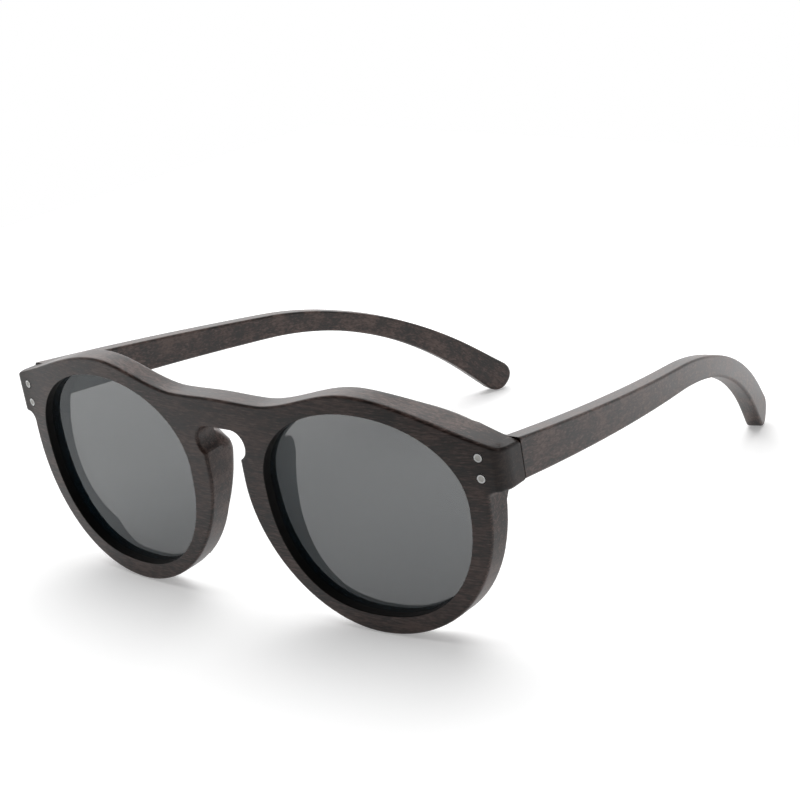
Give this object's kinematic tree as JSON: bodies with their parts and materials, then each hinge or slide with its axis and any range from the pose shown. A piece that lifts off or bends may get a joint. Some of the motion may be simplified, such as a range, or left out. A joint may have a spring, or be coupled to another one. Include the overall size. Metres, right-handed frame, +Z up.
{
  "type": "wooden sunglasses",
  "caption": "Wooden sunglasses with a wrapped keyhole-bridge front, round tinted lenses and bowed temples that fold and flex on sprung steel hinges.",
  "frame": {"origin": "centre of the footprint of the open glasses, on the surface that the rims and temple tips rest on", "axes": "+Z up, the front faces -Y, the temples run back along +Y, +X is the wearer's left"},
  "size_m": [0.1406, 0.1518, 0.0539],
  "materials": {
    "wood": "satin, dark brown with fine grain",
    "tint": "clear grey tint, polished",
    "steel": "bare, brushed",
    "dark_steel": "blackened, satin"
  },
  "bodies": {
    "front": {"front_frame": "wood", "lens_left": "tint", "lens_right": "tint", "nose_pad_left": "wood", "nose_pad_right": "wood", "front_rivets_left": "steel", "front_rivets_right": "steel", "hinge_leaf_left": "dark_steel", "hinge_leaf_right": "dark_steel", "hinge_screw_left": "dark_steel", "hinge_screw_right": "dark_steel"},
    "left_hinge": {"hinge_shuttle_left": "dark_steel", "shuttle_nut_left": "dark_steel"},
    "left_arm": {"temple_left": "wood", "spring_housing_left": "dark_steel", "housing_screws_left": "dark_steel", "hinge_spring_left": "dark_steel"},
    "right_hinge": {"hinge_shuttle_right": "dark_steel", "shuttle_nut_right": "dark_steel"},
    "right_arm": {"temple_right": "wood", "spring_housing_right": "dark_steel", "housing_screws_right": "dark_steel", "hinge_spring_right": "dark_steel"}
  },
  "joints": [
    {"name": "fold_left", "type": "hinge", "parent": "front", "child": "left_hinge", "pos_m": [0.0648, -0.06055, 0.04071], "axis": [0, -0.0854, 0.9963], "range_deg": [0, 81]},
    {"name": "flex_left", "type": "slide", "parent": "left_hinge", "child": "left_arm", "axis": [-0.0333, 0.9959, -0.0845], "range_m": [0, 0.0016], "stiffness_N_per_m": 450, "springref_m": -0.002, "deforming": ["hinge_spring_left"]},
    {"name": "fold_right", "type": "hinge", "parent": "front", "child": "right_hinge", "pos_m": [-0.0648, -0.06055, 0.04071], "axis": [0, 0.0854, -0.9963], "range_deg": [0, 75]},
    {"name": "flex_right", "type": "slide", "parent": "right_hinge", "child": "right_arm", "axis": [0.0333, 0.9959, -0.0845], "range_m": [0, 0.0016], "stiffness_N_per_m": 450, "springref_m": -0.002, "deforming": ["hinge_spring_right"]}
  ]
}
